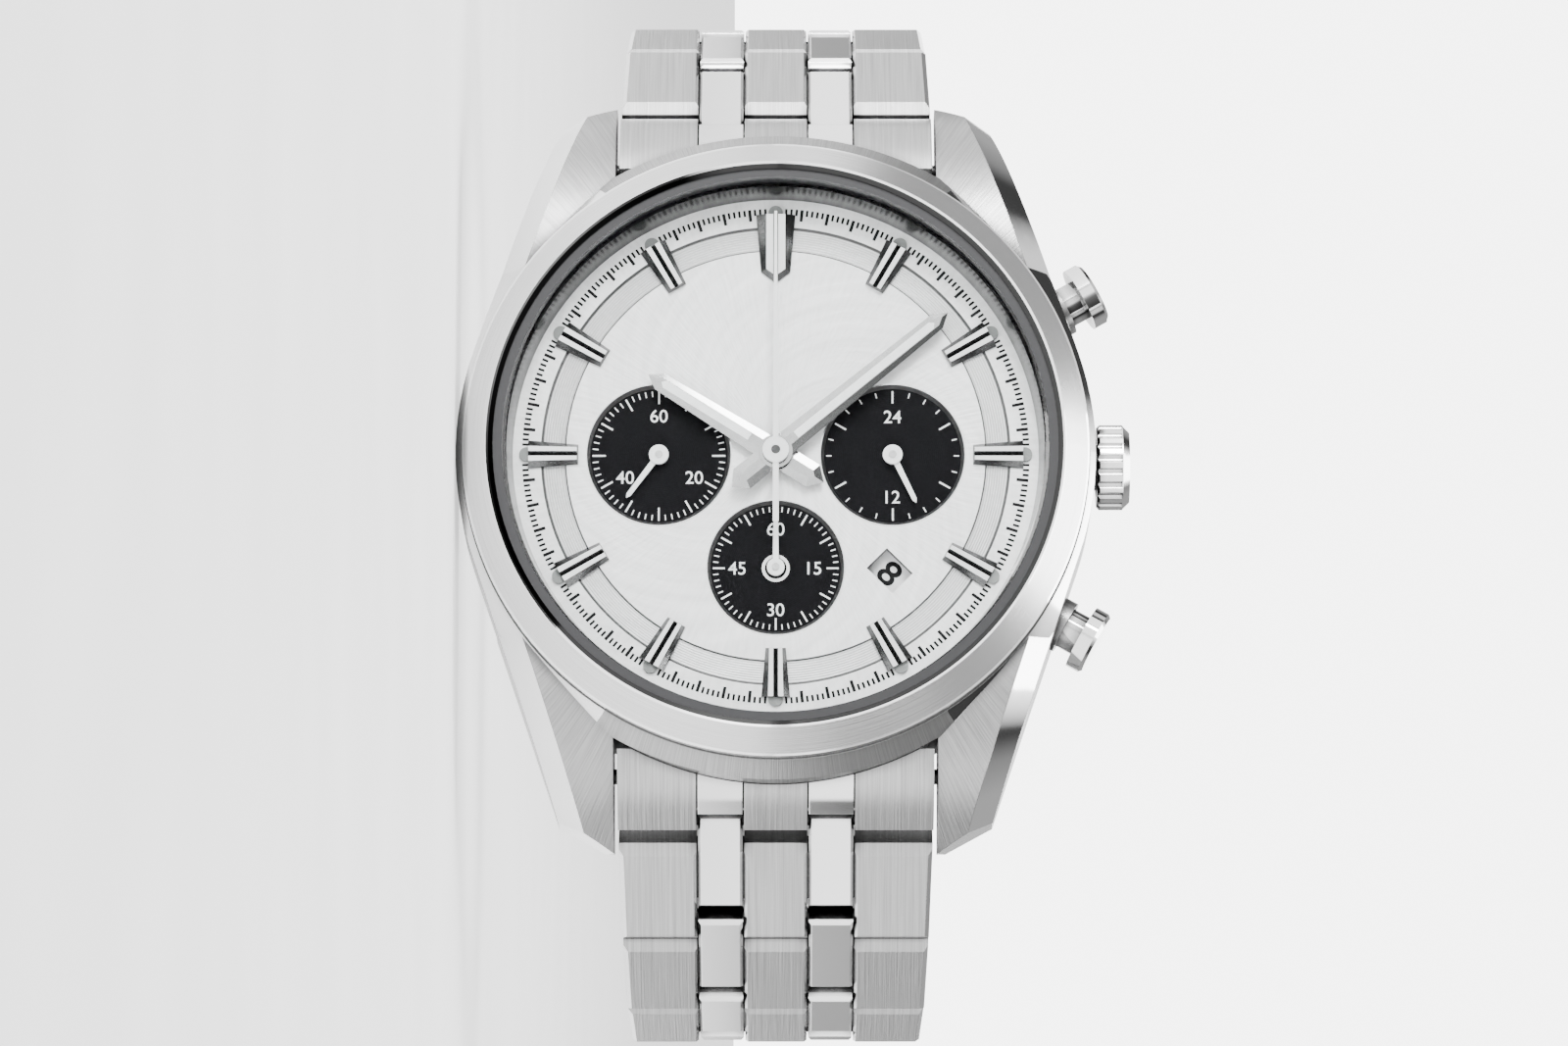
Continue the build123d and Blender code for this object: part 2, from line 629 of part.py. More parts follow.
inner = leaf(INNER_LOW, LEAF, -H2_AT, ARC_END - 1.2, BLADE_HALF) - clear_6
inner -= leaf(INNER_LOW - 1, 4, -2.0, 8.5, 3.2)
inner -= barrel(h2, room, -3.1, 3.1)
for low in (-BLADE_HALF, 3.1):
    inner += barrel(h2, KNUCKLE_R, low, low + BLADE_HALF - 3.1)
    start = low - 1 if low < 0 else low - 0.1
    finish = low + BLADE_HALF - 3.1 + (1 if low > 0 else 0.1)
    inner -= barrel(h2, CLASP_PIN_R, start, finish)
arm_low = CENTRE_HALF + 0.2
arm_wide = POLISHED_OUT - 0.1 - arm_low
for z in (arm_low, -arm_low - arm_wide):
    inner += barrel(p6, 1.15, z, z + arm_wide)
    arm = leaf(INNER_LOW + 0.05, LEAF - 0.05, ARC_END - 2.4, ARC_END - 0.15, arm_wide / 2)
    inner += Pos(0, 0, z + arm_wide / 2) * arm
    inner -= barrel(p6, PIN_R + RUNNING, z - 0.05, z + arm_wide + 0.05)
h2_pin = barrel(h2, CLASP_PIN_R, -BLADE_HALF, BLADE_HALF)
parts["clasp_blade_inner"] = Compound([inner, h2_pin])

outer = leaf(OUTER_LOW, LEAF, -H2_AT, H1_AT, BLADE_HALF)
outer -= leaf(OUTER_LOW - 1, 4, -8.0, 2.0, 3.4)
outer -= barrel(h2, room, 2.95, 9)
outer -= barrel(h2, room, -9, -2.95)
outer -= barrel(h1, room, 2.95, 9)
outer -= barrel(h1, room, -9, -2.95)
outer += barrel(h2, KNUCKLE_R, -2.95, 2.95)
outer += barrel(h1, KNUCKLE_R, -2.95, 2.95)
outer -= barrel(h2, CLASP_PIN_R + RUNNING, -4, 4)
outer -= barrel(h1, CLASP_PIN_R + RUNNING, -4, 4)
parts["clasp_blade_outer"] = outer

COVER_HALF = NARROW_HALF
WALL = 0.95
BUTTON_AT = -8.6
cover = leaf(COVER_LOW, LEAF, -ARC_END + 0.6, H1_AT, COVER_HALF)
long_edges = cover.edges().filter_by(lambda edge: edge.length > 15).sort_by(Axis.Y)[-2:]
cover = chamfer(long_edges, 0.25) - clear_12
cover -= barrel(h1, room, -3.1, 3.1)
wall = leaf(INNER_LOW + 0.1, 2.6, -ARC_END + 1.3, H1_AT + 0.5, WALL / 2)
for side in (1, -1):
    cover += Pos(0, 0, side * (COVER_HALF - WALL / 2)) * wall
for low in (-COVER_HALF + 0.1, 3.1):
    cover += barrel(h1, KNUCKLE_R, low, low + COVER_HALF - 0.1 - 3.1)
for low, high in ((-COVER_HALF + 1.2, -3.0), (3.0, COVER_HALF - 1.2)):
    cover -= barrel(h1, CLASP_PIN_R, low, high)
cover -= clear_6 + clear_12
for z in (arm_low, -arm_low - arm_wide):
    ear = leaf(COVER_LOW, LEAF, -ARC_END - 0.1, -ARC_END + 2.6, arm_wide / 2)
    ear += Pos(p12[0], p12[1], -arm_wide / 2) * Cylinder(1.1, arm_wide, align=LOW)
    ear += leaf(ARC_R - 0.4, 1.0, -ARC_END, -ARC_END + 1.4, arm_wide / 2)
    ear -= Pos(p12[0], p12[1], 0) * Cylinder(PIN_R + RUNNING, 20)
    cover += Pos(0, 0, z + arm_wide / 2) * ear
button_turn = Pos(*arc_point(ARC_R, BUTTON_AT), 0) * Rot(0, 0, -BUTTON_AT)
for side in (1, -1):
    cover -= button_turn * Pos(0, 0.05, side * COVER_HALF) * Box(4.1, 1.7, 5.0)
cover_pins = Pos(h1[0], h1[1], 0) * Cylinder(CLASP_PIN_R, 2 * (COVER_HALF - 1.2))
parts["clasp_cover"] = Compound([cover, cover_pins])
for name, side in (("left", -1), ("right", 1)):
    button = Box(4.0, 1.6, 2.3)
    button = chamfer(button.faces().sort_by(Axis.Z)[-1 if side > 0 else 0].edges(), 0.25)
    out_at = side * (COVER_HALF + 0.85 - 1.15)
    parts["clasp_button_" + name] = button_turn * Pos(0, 0.05, out_at) * button

os.makedirs("parts", exist_ok=True)
for name, shape in parts.items():
    export_step(shape, "parts/" + name + ".step")
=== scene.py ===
"""Studio scene of the chronograph wristwatch, lying on its nine o'clock side."""
import json
import math

import bpy
from mathutils import Matrix, Vector


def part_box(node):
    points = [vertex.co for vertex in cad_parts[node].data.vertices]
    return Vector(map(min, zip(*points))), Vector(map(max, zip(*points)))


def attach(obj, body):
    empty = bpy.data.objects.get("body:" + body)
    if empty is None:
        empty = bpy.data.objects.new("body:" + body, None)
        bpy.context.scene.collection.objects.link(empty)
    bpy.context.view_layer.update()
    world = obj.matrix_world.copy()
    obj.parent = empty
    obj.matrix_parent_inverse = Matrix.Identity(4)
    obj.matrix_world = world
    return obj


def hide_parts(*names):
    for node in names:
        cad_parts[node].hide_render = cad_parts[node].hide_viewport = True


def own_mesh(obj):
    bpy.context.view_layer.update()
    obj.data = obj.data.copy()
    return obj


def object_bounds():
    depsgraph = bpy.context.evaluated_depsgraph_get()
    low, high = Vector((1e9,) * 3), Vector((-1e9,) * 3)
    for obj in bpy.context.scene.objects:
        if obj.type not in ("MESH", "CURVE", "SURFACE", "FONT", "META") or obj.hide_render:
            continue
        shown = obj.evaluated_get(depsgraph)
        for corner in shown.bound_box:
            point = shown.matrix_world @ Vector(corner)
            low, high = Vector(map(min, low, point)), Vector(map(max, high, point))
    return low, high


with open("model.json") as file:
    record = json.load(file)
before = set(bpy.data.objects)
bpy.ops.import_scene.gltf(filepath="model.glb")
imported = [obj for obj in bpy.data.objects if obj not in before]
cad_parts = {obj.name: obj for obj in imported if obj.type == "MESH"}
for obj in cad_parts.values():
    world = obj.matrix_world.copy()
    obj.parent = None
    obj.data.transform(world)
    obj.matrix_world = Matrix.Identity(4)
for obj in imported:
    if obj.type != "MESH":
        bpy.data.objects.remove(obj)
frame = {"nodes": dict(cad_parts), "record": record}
first_lo, first_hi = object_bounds()
MM = 0.001
scene = bpy.context.scene
nodes = frame["nodes"]


# ------------------------------------------------------------------ places
def middle(node):
    low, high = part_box(node)
    return (low + high) / 2


# the hand axis, where it meets the plane of the case back
AXIS = middle("dial")
AXIS.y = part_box("case_back")[1].y
TO_ROW = Matrix(((0, -1, 0), (0, 0, -1), (1, 0, 0)))


def row(x, y, z):
    """A point given dial up in mm (x to 3, y to 12, z out of the dial) in the row's frame."""
    return AXIS + TO_ROW @ Vector((x, y, z)) * MM


def height(node):
    """How far a node reaches above the case back's plane, in mm."""
    return (AXIS.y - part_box(node)[0].y) / MM


DIAL_TOP = height("dial")
SUB_FLOOR = height("subdial_plates")


def centre_of(node):
    """The dial-up (x, y) of a node's middle, in mm."""
    point = middle(node) - AXIS
    return point.z / MM, -point.x / MM


LEFT = centre_of("chrono_minute_arbor")
RIGHT = centre_of("day_hand_arbor")
LOWER = centre_of("small_seconds_arbor")


# ------------------------------------------------------------------ materials
# axes of the row's frame, for Shader.facing
OUT_OF_DIAL, SIDEWAYS = 1, 2
FULL_TURN = 2 * math.pi
# edges that the case and the bracelet seem to have, and the depth of their brushing
EDGE_ROUND, BRUSH_RELIEF = 0.09 * MM, 0.04 * MM
FINE_RELIEF = 0.05 * MM
# how far painted shade reaches into the metal round a narrow place, to what grey, and how steeply
PAINTED_SHADE_REACH, PAINTED_SHADE_GREY, PAINTED_SHADE_POWER = 0.9 * MM, 0.02, 2.4


def grey(value):
    return (value, value, value, 1.0)


class Shader:
    """A Principled material and short ways to add nodes to it."""

    def __init__(self, name):
        self.material = bpy.data.materials.new(name)
        self.material.use_nodes = True
        self.tree = self.material.node_tree
        self.bsdf = self.tree.nodes["Principled BSDF"]

    def node(self, kind, inputs=None, **settings):
        made = self.tree.nodes.new(kind)
        for key, value in settings.items():
            setattr(made, key, value)
        for key, value in (inputs or {}).items():
            self.put(made.inputs[key], value)
        return made

    def put(self, socket, value):
        if isinstance(value, bpy.types.NodeSocket):
            self.tree.links.new(value, socket)
        else:
            socket.default_value = value

    def set(self, **inputs):
        for key, value in inputs.items():
            self.put(self.bsdf.inputs[key.replace("_", " ")], value)

    def set_specular(self, level):
        self.bsdf.inputs["Specular IOR Level"].default_value = level

    def math(self, operation, a, b=0.0, c=0.0):
        return self.node("ShaderNodeMath", {0: a, 1: b, 2: c}, operation=operation).outputs[0]

    def between(self, value, low, high):
        above = self.math("GREATER_THAN", value, low)
        below = self.math("LESS_THAN", value, high)
        return self.math("MULTIPLY", above, below)

    def outside(self, value, mask):
        """The value where the mask is 0, and nothing where it is 1."""
        return self.math("MULTIPLY", value, self.math("SUBTRACT", 1.0, mask))

    def mix(self, factor, a, b):
        made = self.node("ShaderNodeMix", {0: factor}, data_type="RGBA")
        self.put(made.inputs[6], a)
        self.put(made.inputs[7], b)
        return made.outputs[2]

    def blend(self, factor, a, b):
        return self.node("ShaderNodeMix", {0: factor, 2: a, 3: b}, data_type="FLOAT").outputs[0]

    def combine(self, x, y, z):
        return self.node("ShaderNodeCombineXYZ", {0: x, 1: y, 2: z}).outputs[0]

    def noise(self, vector, scale, detail):
        inputs = {"Vector": vector, "Scale": scale, "Detail": detail}
        return self.node("ShaderNodeTexNoise", inputs).outputs[0]

    def place(self):
        return self.node("ShaderNodeTexCoord").outputs["Object"]

    def stretched(self, scale):
        return self.node("ShaderNodeMapping", {"Vector": self.place(), "Scale": scale}).outputs[0]

    def polar(self, across, around, centre=(0.0, 0.0)):
        """Radius in mm and angle in radians about a dial point, and both scaled as a vector."""
        split = self.node("ShaderNodeSeparateXYZ", {0: self.place()})
        x = self.math("MULTIPLY_ADD", split.outputs[2], 1 / MM, -centre[0])
        y = self.math("MULTIPLY_ADD", split.outputs[0], -1 / MM, -centre[1])
        squares = self.math("ADD", self.math("MULTIPLY", x, x), self.math("MULTIPLY", y, y))
        radius = self.math("SQRT", squares)
        angle = self.math("ARCTAN2", y, x)
        along, about = self.math("MULTIPLY", radius, across), self.math("MULTIPLY", angle, around)
        return radius, angle, self.combine(along, about, 0.0)

    def rounded(self):
        return self.node("ShaderNodeBevel", {"Radius": EDGE_ROUND}, samples=4).outputs[0]

    def bump(self, relief, strength, distance, soft_edges=False):
        inputs = {"Strength": strength, "Distance": distance, "Height": relief}
        made = self.node("ShaderNodeBump", inputs)
        if soft_edges:
            self.put(made.inputs["Normal"], self.rounded())
        return made.outputs[0]

    def crevice(self, colour, distance=PAINTED_SHADE_REACH):
        """The colour with painted shade, darker where other metal closes in around it."""
        made = self.node("ShaderNodeAmbientOcclusion", {"Distance": distance}, samples=6)
        lit = self.math("POWER", made.outputs["AO"], PAINTED_SHADE_POWER)
        return self.mix(lit, grey(PAINTED_SHADE_GREY), colour)

    def facing(self, axis):
        """How squarely the surface looks along an axis, either way: 0 to 1."""
        normal = self.node("ShaderNodeNewGeometry").outputs["Normal"]
        split = self.node("ShaderNodeSeparateXYZ", {0: normal})
        return self.math("ABSOLUTE", split.outputs[axis])


def finish_metal(shader, grain, tone, rough, spread, bump=0.02, streaks=0.09, paint_crevice_shade=True):
    """Metal round a grey tone; its flag after streaks paints shade into the colour where other
    metal closes in, for pieces that lie tight against others.
    """
    colour = shader.mix(grain, grey(tone - streaks), grey(tone + 0.05))
    # painted shade: the colour darkens where other metal closes in, unless the flag is off
    shader.set(Base_Color=shader.crevice(colour) if paint_crevice_shade else colour, Metallic=1.0)
    shader.set(Roughness=shader.blend(grain, rough + spread, rough - spread))
    shader.set(Normal=shader.bump(grain, bump, FINE_RELIEF))


def brushed(name, scale, tone, rough=0.3, bump=0.25):
    """Straight brushing, fine along the axes with a large scale."""
    shader = Shader(name)
    grain = shader.noise(shader.stretched(scale), 1.0, 4.0)
    finish_metal(shader, grain, tone, rough, spread=0.06, bump=bump, streaks=0.3)
    return shader.material


def turned_metal(name, across, around, tone=0.72, rough=0.28, spread=0.05):
    """Marks of turning or brushing about the hand axis."""
    shader = Shader(name)
    grain = shader.noise(shader.polar(across, around)[2], 1.0, 4.0)
    finish_metal(shader, grain, tone, rough, spread, bump=0.2)
    return shader.material


def polished(name, tone=0.8, rough=0.07, paint_crevice_shade=True):
    shader = Shader(name)
    grain = shader.noise(shader.place(), 900.0, 3.0)
    finish_metal(shader, grain, tone, rough, spread=0.02, paint_crevice_shade=paint_crevice_shade)
    return shader.material


def painted(name, colour, rough=0.45, scale=2500.0, depth=0.08, specular=0.4):
    shader = Shader(name)
    grain = shader.noise(shader.place(), scale, 3.0)
    dark = tuple(c * 0.86 for c in colour) + (1.0,)
    light = tuple(min(1.0, c * 1.06) for c in colour) + (1.0,)
    shader.set(Base_Color=shader.mix(grain, dark, light))
    shader.set(Roughness=shader.blend(grain, rough + 0.08, rough - 0.05))
    shader.set_specular(specular)
    shader.set(Normal=shader.bump(grain, depth, FINE_RELIEF))
    return shader.material


def case_steel():
    """Lug tops and shoulder brushed outwards, flanks along the case, bevels polished."""
    flank_from, bevel_from = 0.86, 0.42
    shader = Shader("case_steel")
    fan = shader.noise(shader.polar(0.25, 260.0)[2], 1.0, 4.0)
    along_flank = shader.noise(shader.stretched((150.0, 9000.0, 150.0)), 1.0, 4.0)
    sideways = shader.facing(SIDEWAYS)
    on_flank = shader.math("GREATER_THAN", sideways, flank_from)
    grain = shader.blend(on_flank, fan, along_flank)
    bevel = shader.between(sideways, bevel_from, flank_from)
    colour = shader.mix(bevel, shader.mix(grain, grey(0.16), grey(0.50)), grey(0.9))
    # painted shade: the colour darkens where other metal closes in
    shader.set(Base_Color=shader.crevice(colour), Metallic=1.0)
    shader.set(Roughness=shader.blend(bevel, shader.blend(grain, 0.40, 0.27), 0.08))
    shader.set(Normal=shader.bump(shader.outside(grain, bevel), 0.35, BRUSH_RELIEF, True))
    return shader.material


def bezel_steel():
    """Circular brush on the slope, polished edge and rim, and the seat of the crystal painted near
    black as a painted dark reflection.
    """
    seat_radius, slope_inner, slope_outer = 18.6, 18.78, 20.2
    shader = Shader("bezel_steel")
    radius, _, vector = shader.polar(28.0, 1.2)
    grain = shader.noise(vector, 1.0, 4.0)
    slope = shader.between(radius, slope_inner, slope_outer)
    brush = shader.mix(grain, grey(0.50), grey(0.74))
    seat_painted_dark = shader.math("LESS_THAN", radius, seat_radius)
    # inside the crystal's seat the colour is painted near black, a painted reflection of dark
    # surroundings
    colour = shader.mix(seat_painted_dark, shader.mix(slope, grey(0.9), brush), grey(0.035))
    # painted shade: the colour darkens where other metal closes in
    shader.set(Base_Color=shader.crevice(colour), Metallic=1.0)
    shader.set(Roughness=shader.blend(slope, 0.06, shader.blend(grain, 0.30, 0.20)))
    shader.set(Normal=shader.bump(shader.math("MULTIPLY", grain, slope), 0.15, 0.03 * MM))
    return shader.material


def bracelet_steel():
    """Brushed lengthways, with the second and fourth columns and the link sides polished."""
    column_inner, column_outer = 2.07 * MM, 5.09 * MM
    shader = Shader("bracelet_steel")
    grain = shader.noise(shader.stretched((120.0, 120.0, 9000.0)), 1.0, 4.0)
    split = shader.node("ShaderNodeSeparateXYZ", {0: shader.place()})
    from_middle = shader.math("ABSOLUTE", split.outputs[2])
    column = shader.between(from_middle, column_inner, column_outer)
    side = shader.math("GREATER_THAN", shader.facing(SIDEWAYS), 0.5)
    mirror = shader.math("MAXIMUM", column, shader.math("MULTIPLY", side, 0.8))
    brush = shader.mix(grain, grey(0.22), grey(0.56))
    # painted shade: the colour darkens where other metal closes in
    shader.set(Base_Color=shader.crevice(shader.mix(mirror, brush, grey(0.92))), Metallic=1.0)
    shader.set(Roughness=shader.blend(mirror, shader.blend(grain, 0.40, 0.28), 0.09))
    shader.set(Normal=shader.bump(shader.outside(grain, mirror), 0.35, BRUSH_RELIEF, True))
    return shader.material


def dial_silver():
    """Silver-white sunburst with a faint swirl, a grooved track, and sloped walls painted dark as
    painted shade.
    """
    track_inner, track_outer, groove_pitch = 13.66, 15.22, 0.16
    shader = Shader("dial_silver")
    radius, angle, vector = shader.polar(0.35, 34.0)
    burst = shader.noise(vector, 1.6, 5.0)
    twist = shader.math("ADD", angle, shader.math("MULTIPLY", radius, 0.16))
    swirl_out = shader.math("MULTIPLY", radius, 0.22)
    swirl_round = shader.math("MULTIPLY", twist, 6.5)
    swirl = shader.noise(shader.combine(swirl_out, swirl_round, 3.0), 1.3, 6.0)
    burst_share = shader.math("MULTIPLY", burst, 0.45)
    grain = shader.math("ADD", burst_share, shader.math("MULTIPLY", swirl, 0.55))
    track = shader.between(radius, track_inner, track_outer)
    groove = shader.math("SINE", shader.math("MULTIPLY", radius, FULL_TURN / groove_pitch))
    wall_painted_dark = shader.math("LESS_THAN", shader.facing(OUT_OF_DIAL), 0.94)
    grooved = shader.math("MULTIPLY", track, shader.math("MULTIPLY_ADD", groove, 0.4, 0.4))
    contrast = shader.math("MULTIPLY_ADD", grain, 2.0, -0.5)
    colour = shader.mix(contrast, grey(0.66), grey(0.95))
    colour = shader.mix(grooved, colour, grey(0.6))
    # painted shade: the sloped walls of the steps and recesses are painted near black, and made
    # more metallic
    colour = shader.mix(wall_painted_dark, colour, grey(0.10))
    shader.set(Base_Color=colour, Metallic=shader.blend(wall_painted_dark, 0.30, 0.8))
    shader.set(Roughness=shader.blend(grain, 0.46, 0.34))
    cut = shader.math("MULTIPLY", shader.math("MULTIPLY", groove, track), 0.4)
    shader.set(Normal=shader.bump(shader.math("ADD", grain, cut), 0.55, 0.09 * MM))
    return shader.material


def dial_charcoal():
    """Charcoal with fine rings about the middle of each small dial."""
    ring_pitch = 0.12
    shader = Shader("dial_charcoal")
    nearest = None
    for spot in (LEFT, RIGHT, LOWER):
        radius = shader.polar(1.0, 1.0, spot)[0]
        nearest = radius if nearest is None else shader.math("MINIMUM", nearest, radius)
    wave = shader.math("SINE", shader.math("MULTIPLY", nearest, FULL_TURN / ring_pitch))
    grain = shader.noise(shader.place(), 6000.0, 3.0)
    tone = shader.math("MULTIPLY_ADD", wave, 0.15, grain)
    dark, light = (0.003, 0.003, 0.0034, 1), (0.008, 0.008, 0.0095, 1)
    shader.set(Base_Color=shader.mix(tone, dark, light), Roughness=shader.blend(grain, 0.5, 0.36))
    shader.set_specular(0.03)
    shader.set(Normal=shader.bump(tone, 0.2, 0.03 * MM))
    return shader.material


def crystal_glass():
    """Clear flat crystal: light passes, and only a slanting look or the edge shines."""
    shader = Shader("crystal_glass")
    grain = shader.noise(shader.place(), 300.0, 2.0)
    clear = shader.node("ShaderNodeBsdfTransparent", {"Color": (0.985, 0.99, 0.99, 1)})
    gloss = shader.node(
        "ShaderNodeBsdfGlossy",
        {"Roughness": shader.blend(grain, 0.02, 0.01), "Color": (1, 1, 1, 1)},
    )
    edge = shader.math("LESS_THAN", shader.facing(OUT_OF_DIAL), 0.97)
    slant = shader.node("ShaderNodeLayerWeight", {"Blend": 0.5}).outputs["Facing"]
    face = shader.math("MAXIMUM", shader.math("MULTIPLY_ADD", slant, 0.22, -0.07), 0.0)
    share = shader.blend(edge, face, 0.05)
    both = shader.node("ShaderNodeMixShader", {0: share, 1: clear.outputs[0], 2: gloss.outputs[0]})
    shader.put(shader.tree.nodes["Material Output"].inputs["Surface"], both.outputs[0])
    return shader.material


def marker_silver():
    """Bright satin tops, with the cut sides painted dark as painted shade."""
    shader = Shader("marker_silver")
    grain = shader.noise(shader.stretched((5000.0, 500.0, 5000.0)), 1.0, 3.0)
    top = shader.math("GREATER_THAN", shader.facing(OUT_OF_DIAL), 0.93)
    # painted shade: the cut sides of the markers are painted dark
    sides_painted_dark = shader.mix(grain, grey(0.10), grey(0.22))
    colour = shader.mix(top, sides_painted_dark, shader.mix(grain, grey(0.70), grey(0.9)))
    # painted shade: the colour darkens where other metal closes in
    shader.set(Base_Color=shader.crevice(colour, 0.3 * MM), Metallic=1.0)
    shader.set(Roughness=shader.blend(grain, 0.24, 0.16))
    shader.set(Normal=shader.bump(grain, 0.05, 0.02 * MM))
    return shader.material


RUBBER = (0.02, 0.02, 0.022)
PRINT_BLACK = (0.004, 0.004, 0.0045)
finishes = {
    "steel_brushed": case_steel(),
    "steel_polished": polished("polished_steel"),
    "steel_back": turned_metal("back_steel", 24.0, 1.0),
    "bracelet_steel": bracelet_steel(),
    "clasp_steel": brushed(
        "clasp_brushed", (120.0, 120.0, 9000.0), tone=0.56, rough=0.34, bump=0.35
    ),
    "clasp_blade_steel": brushed("blade_brushed", (200.0, 200.0, 7000.0), tone=0.5),
    "crown_steel": polished("crown_polished", tone=0.80, rough=0.12),
    "tube_steel": brushed("tube_turned", (3000.0, 3000.0, 3000.0), tone=0.6),
    "spring_steel": brushed("spring_wire", (2500.0, 2500.0, 2500.0), tone=0.55),
    "sapphire": crystal_glass(),
    "gasket_black": painted("gasket_rubber", RUBBER, rough=0.6, depth=0.3),
    "flange_silver": turned_metal(
        "flange_polished", 3.0, 40.0, tone=0.16, rough=0.2, spread=0.03
    ),
    "dial_silver": dial_silver(),
    "dial_charcoal": dial_charcoal(),
    "marker_silver": marker_silver(),
    "lume_white": painted("lume", (0.26, 0.27, 0.265), rough=0.7, scale=9000.0, depth=0.4),
    "hand_steel": polished("hand_facets", tone=0.46, rough=0.18, paint_crevice_shade=False),
    "hand_white": painted("white_paint", (0.86, 0.87, 0.87), rough=0.4, depth=0.05),
    "date_white": painted("date_ground", (0.85, 0.85, 0.85), rough=0.5, depth=0.05),
    "solar_film": painted("solar", (0.05, 0.03, 0.06), rough=0.3),
    "movement_brass": brushed("movement_grain", (2500.0, 2500.0, 400.0), tone=0.6),
    "movement_plastic": painted("spacer", (0.12, 0.12, 0.13), rough=0.5),
    "circuit_green": painted("board", (0.03, 0.12, 0.06), rough=0.4),
    "cell_steel": brushed("cell_can", (1500.0, 1500.0, 1500.0), tone=0.65),
}
# pieces that look different from the rest of their slot
special = {
    "bezel": bezel_steel(),
    "chrono_seconds_hand": polished("seconds_facets", tone=0.88, rough=0.2, paint_crevice_shade=False),
    "crystal_gasket": painted("gasket_grey", RUBBER, rough=0.3, depth=0.1),
}
for entry in frame["record"]["subparts"]:
    materials = nodes[entry["node"]].data.materials
    materials.clear()
    materials.append(special.get(entry["node"], finishes[entry["material_slot"]]))
print_black = painted("print_black", PRINT_BLACK, rough=0.4, depth=0.02, specular=0.1)
white = finishes["hand_white"]
silver = finishes["marker_silver"]


# ------------------------------------------------------------------ printed and applied pieces
def add_object(name, data):
    made = bpy.data.objects.new(name, data)
    scene.collection.objects.link(made)
    return made


def mesh_of(name, corners, faces, material):
    mesh = bpy.data.meshes.new(name)
    mesh.from_pydata(corners, [], faces)
    mesh.materials.append(material)
    mesh.update()
    return add_object(name, mesh)


def build(name, corners, faces, body, material):
    piece = mesh_of(name, corners, faces, material)
    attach(piece, body)


def plates(name, outlines, low, thick, body, material):
    """Thin plates with the given outlines (dial-up mm), from low up."""
    corners, faces = [], []
    for outline in outlines:
        start, count = len(corners), len(outline)
        for level in (low, low + thick):
            corners += [row(x, y, level) for x, y in outline]
        faces.append([start + i for i in reversed(range(count))])
        faces.append([start + count + i for i in range(count)])
        for i in range(count):
            j = (i + 1) % count
            faces.append([start + i, start + j, start + count + j, start + count + i])
    build(name, corners, faces, body, material)


def bar_outline(inner, outer, width, clockwise, centre=(0.0, 0.0)):
    """A bar pointing outwards at a clockwise angle from 12, in degrees."""
    turn = math.radians(90 - clockwise)
    along = Vector((math.cos(turn), math.sin(turn)))
    side = Vector((along.y, -along.x)) * width / 2
    near, far = Vector(centre) + along * inner, Vector(centre) + along * outer
    return [(p.x, p.y) for p in (near + side, far + side, far - side, near - side)]


def ring_outlines(inner, outer, centre, steps=96):
    """A flat ring as four-cornered pieces side by side."""

    def at(radius, angle):
        return centre[0] + radius * math.cos(angle), centre[1] + radius * math.sin(angle)

    pieces = []
    for i in range(steps):
        a, b = FULL_TURN * i / steps, FULL_TURN * (i + 1) / steps
        pieces.append([at(inner, a), at(outer, a), at(outer, b), at(inner, b)])
    return pieces


# in mm: thickness of print, width and rise of the rims, radii and rise of the collar
PRINT = 0.012
RIM_WIDTH, RIM_RISE = 0.07, 0.015
COLLAR_INNER, COLLAR_OUTER, COLLAR_RISE = 0.7, 0.91, 0.05

# five marks to a minute, left out beside the twelve applied markers
TRACK_MARKS, MARKS_PER_MINUTE, MARKS_PER_HOUR = 300, 5, 25
TRACK_OUTER = 16.5
MINUTE_MARK, FINE_MARK = (15.72, 0.2), (16.08, 0.15)  # inner radius and width
minute_marks = []
for step in range(TRACK_MARKS):
    if step % MARKS_PER_HOUR in (0, 1, MARKS_PER_HOUR - 1):
        continue
    inner, width = FINE_MARK if step % MARKS_PER_MINUTE else MINUTE_MARK
    minute_marks.append(bar_outline(inner, TRACK_OUTER, width, step * 360 / TRACK_MARKS))
plates("minute_track", minute_marks, DIAL_TOP, PRINT, "case", print_black)

# outer radius, marks, how many to a long one, and the inner radius of short and long ones
SHORT_WIDTH, LONG_WIDTH = 0.075, 0.11
for name, spot, outer, count, every, short, long in (
    ("left_scale", LEFT, 4.32, 60, 5, 3.95, 3.46),
    ("lower_scale", LOWER, 4.08, 60, 5, 3.74, 3.3),
    ("right_scale", RIGHT, 4.32, 24, 4, 3.98, 3.5),
):
    marks = []
    for step in range(count):
        inner, width = (short, SHORT_WIDTH) if step % every else (long, LONG_WIDTH)
        marks.append(bar_outline(inner, outer, width, step * 360 / count, spot))
    plates(name, marks, SUB_FLOOR, PRINT, "case", white)
for name, spot, radius in (
    ("left_rim", LEFT, 4.68),
    ("right_rim", RIGHT, 4.68),
    ("lower_rim", LOWER, 4.44),
):
    ring = ring_outlines(radius, radius + RIM_WIDTH, spot)
    plates(name, ring, DIAL_TOP, RIM_RISE, "case", silver)
collar = ring_outlines(COLLAR_INNER, COLLAR_OUTER, LOWER, steps=48)
plates("lower_collar", collar, SUB_FLOOR, COLLAR_RISE, "case", silver)


